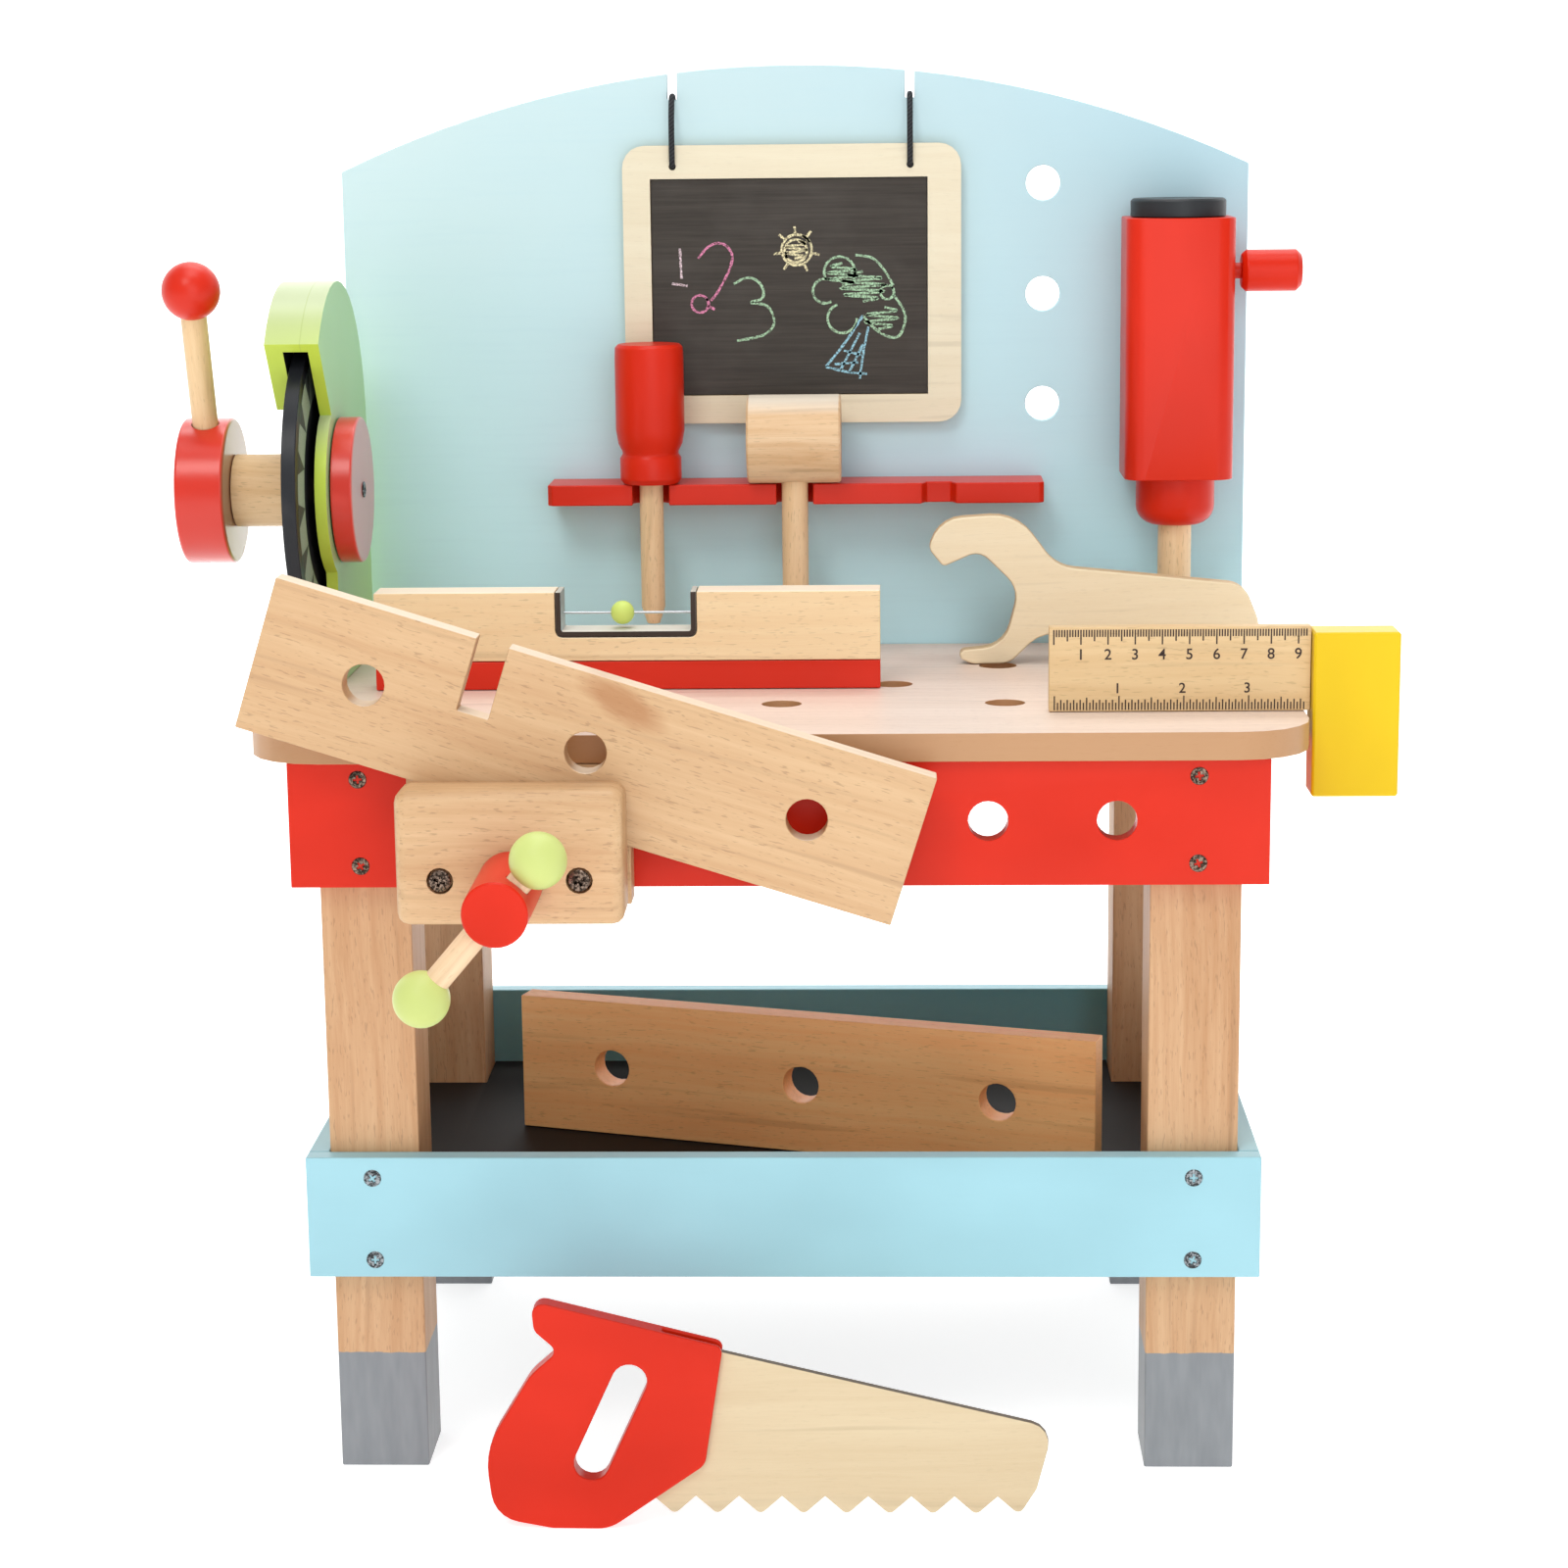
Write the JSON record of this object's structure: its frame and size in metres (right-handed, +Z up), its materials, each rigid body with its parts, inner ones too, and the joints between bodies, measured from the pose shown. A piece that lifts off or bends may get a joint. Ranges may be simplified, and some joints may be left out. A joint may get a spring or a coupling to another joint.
{
  "type": "toy tool bench",
  "caption": "Wooden play workbench with a red and blue frame, back panel, vise, crank saw, chalkboard and loose toy tools.",
  "frame": {"origin": "on the floor, under the middle of the whole model's box", "axes": "+Z up, +Y from the front to the back panel, +X to the right seen from the front"},
  "size_m": [0.4656, 0.3504, 0.5239],
  "materials": {
    "natural_beech": "sanded beech with a thin matt lacquer",
    "tabletop_beech": "pale beech with a satin lacquer",
    "pale_plank": "sanded pale softwood",
    "pale_plywood": "pale plywood with sawn edges",
    "red_paint": "gloss red paint on wood",
    "blue_paint": "satin light blue paint on wood",
    "pale_blue_paint": "satin very light blue paint on thin board",
    "lime_paint": "satin lime green paint on wood",
    "yellow_paint": "satin yellow paint on wood",
    "black_paint": "matt black paint on wood",
    "slate": "matt chalkboard paint on thin board",
    "black_cord": "braided black cord",
    "dark_steel": "darkened steel"
  },
  "bodies": {
    "bench": {"front_left_leg": "natural_beech", "front_right_leg": "natural_beech", "rear_left_leg": "natural_beech", "rear_right_leg": "natural_beech", "tabletop": "tabletop_beech", "front_apron": "red_paint", "rear_apron": "red_paint", "left_apron": "red_paint", "right_apron": "red_paint", "back_panel": "pale_blue_paint", "tool_rack": "red_paint", "tray_front": "blue_paint", "tray_back": "blue_paint", "tray_left": "blue_paint", "tray_right": "blue_paint", "tray_floor": "black_paint", "vise_fixed_jaw": "natural_beech", "saw_guard": "lime_paint"},
    "vise_jaw": {"vise_moving_jaw": "natural_beech", "vise_guide_rod_left": "natural_beech", "vise_guide_rod_right": "natural_beech", "vise_jaw_screw_left": "dark_steel", "vise_jaw_screw_right": "dark_steel"},
    "vise_screw": {"vise_spindle": "natural_beech", "vise_knob": "red_paint"},
    "vise_handle": {"vise_bar": "natural_beech", "vise_ball_upper": "lime_paint", "vise_ball_lower": "lime_paint"},
    "clamped_plank": {"clamped_plank": "pale_plank"},
    "saw_rotor": {"saw_blade": "black_paint", "saw_axle": "natural_beech", "crank_disc": "red_paint", "crank_lever": "natural_beech", "crank_ball": "red_paint", "axle_end_disc": "red_paint", "axle_end_screw": "dark_steel"},
    "chalkboard": {"chalkboard_frame": "pale_plywood", "chalkboard_slate": "slate", "chalkboard_cord_left": "black_cord", "chalkboard_cord_right": "black_cord"},
    "screwdriver": {"screwdriver_handle": "red_paint", "screwdriver_shaft": "natural_beech"},
    "hammer": {"hammer_head": "natural_beech", "hammer_handle": "natural_beech"},
    "drill": {"drill_body": "red_paint", "drill_cap": "black_paint", "drill_side_handle": "red_paint"},
    "drill_chuck": {"drill_chuck": "red_paint", "drill_bit": "natural_beech"},
    "wrench": {"wrench": "pale_plywood"},
    "square": {"square_blade": "pale_plank", "square_stock": "yellow_paint"},
    "level": {"level_body": "natural_beech", "level_base": "red_paint", "level_channel": "black_paint", "level_wire": "dark_steel"},
    "level_bead": {"level_bead": "lime_paint"},
    "handsaw": {"handsaw_handle": "red_paint", "handsaw_blade": "pale_plywood"},
    "tray_plank": {"tray_plank": "pale_plank"}
  },
  "joints": [
    {"name": "vise_jaw_slide", "type": "slide", "parent": "bench", "child": "vise_jaw", "axis": [0, -1, 0], "range_m": [0, 0.012]},
    {"name": "vise_screw_turn", "type": "hinge", "parent": "vise_jaw", "child": "vise_screw", "pos_m": [-0.08762, -0.12625, 0.2409], "axis": [0, 1, 0], "range_deg": [0, 1080]},
    {"name": "vise_bar_slide", "type": "slide", "parent": "vise_screw", "child": "vise_handle", "axis": [0.6481, 0, 0.7615], "range_m": [0, 0.02]},
    {"name": "clamped_plank_lift", "type": "slide", "parent": "bench", "child": "clamped_plank", "axis": [0, 0, 1], "range_m": [0, 0.1]},
    {"name": "saw_spin", "type": "hinge", "parent": "bench", "child": "saw_rotor", "pos_m": [-0.18382, 0.04375, 0.361], "axis": [1, 0, 0], "continuous": true},
    {"name": "chalkboard_lift", "type": "slide", "parent": "bench", "child": "chalkboard", "axis": [0, 0, 1], "range_m": [0, 0.045]},
    {"name": "screwdriver_lift", "type": "slide", "parent": "bench", "child": "screwdriver", "axis": [0, 0, 1], "range_m": [0, 0.07]},
    {"name": "hammer_lift", "type": "slide", "parent": "bench", "child": "hammer", "axis": [0, 0, 1], "range_m": [0, 0.08]},
    {"name": "drill_lift", "type": "slide", "parent": "bench", "child": "drill", "axis": [0, 0, 1], "range_m": [0, 0.03]},
    {"name": "drill_chuck_spin", "type": "hinge", "parent": "drill", "child": "drill_chuck", "pos_m": [0.16187, 0.10335, 0.358], "axis": [0, 0, 1], "continuous": true},
    {"name": "wrench_lift", "type": "slide", "parent": "bench", "child": "wrench", "axis": [0, 0, 1], "range_m": [0, 0.06]},
    {"name": "square_lift", "type": "slide", "parent": "bench", "child": "square", "axis": [0, 0, 1], "range_m": [0, 0.06]},
    {"name": "level_lift", "type": "slide", "parent": "bench", "child": "level", "axis": [0, 0, 1], "range_m": [0, 0.06]},
    {"name": "level_bead_slide", "type": "slide", "parent": "level", "child": "level_bead", "axis": [1, 0, 0], "range_m": [-0.018, 0.0215]},
    {"name": "handsaw_lift", "type": "slide", "parent": "bench", "child": "handsaw", "axis": [0, 0, 1], "range_m": [0, 0.08]},
    {"name": "tray_plank_lift", "type": "slide", "parent": "bench", "child": "tray_plank", "axis": [0, 0, 1], "range_m": [0, 0.075]}
  ],
  "couplings": [
    {"joint": "vise_screw_turn", "follows": "vise_jaw_slide", "rad_per_m": 1570.8}
  ]
}
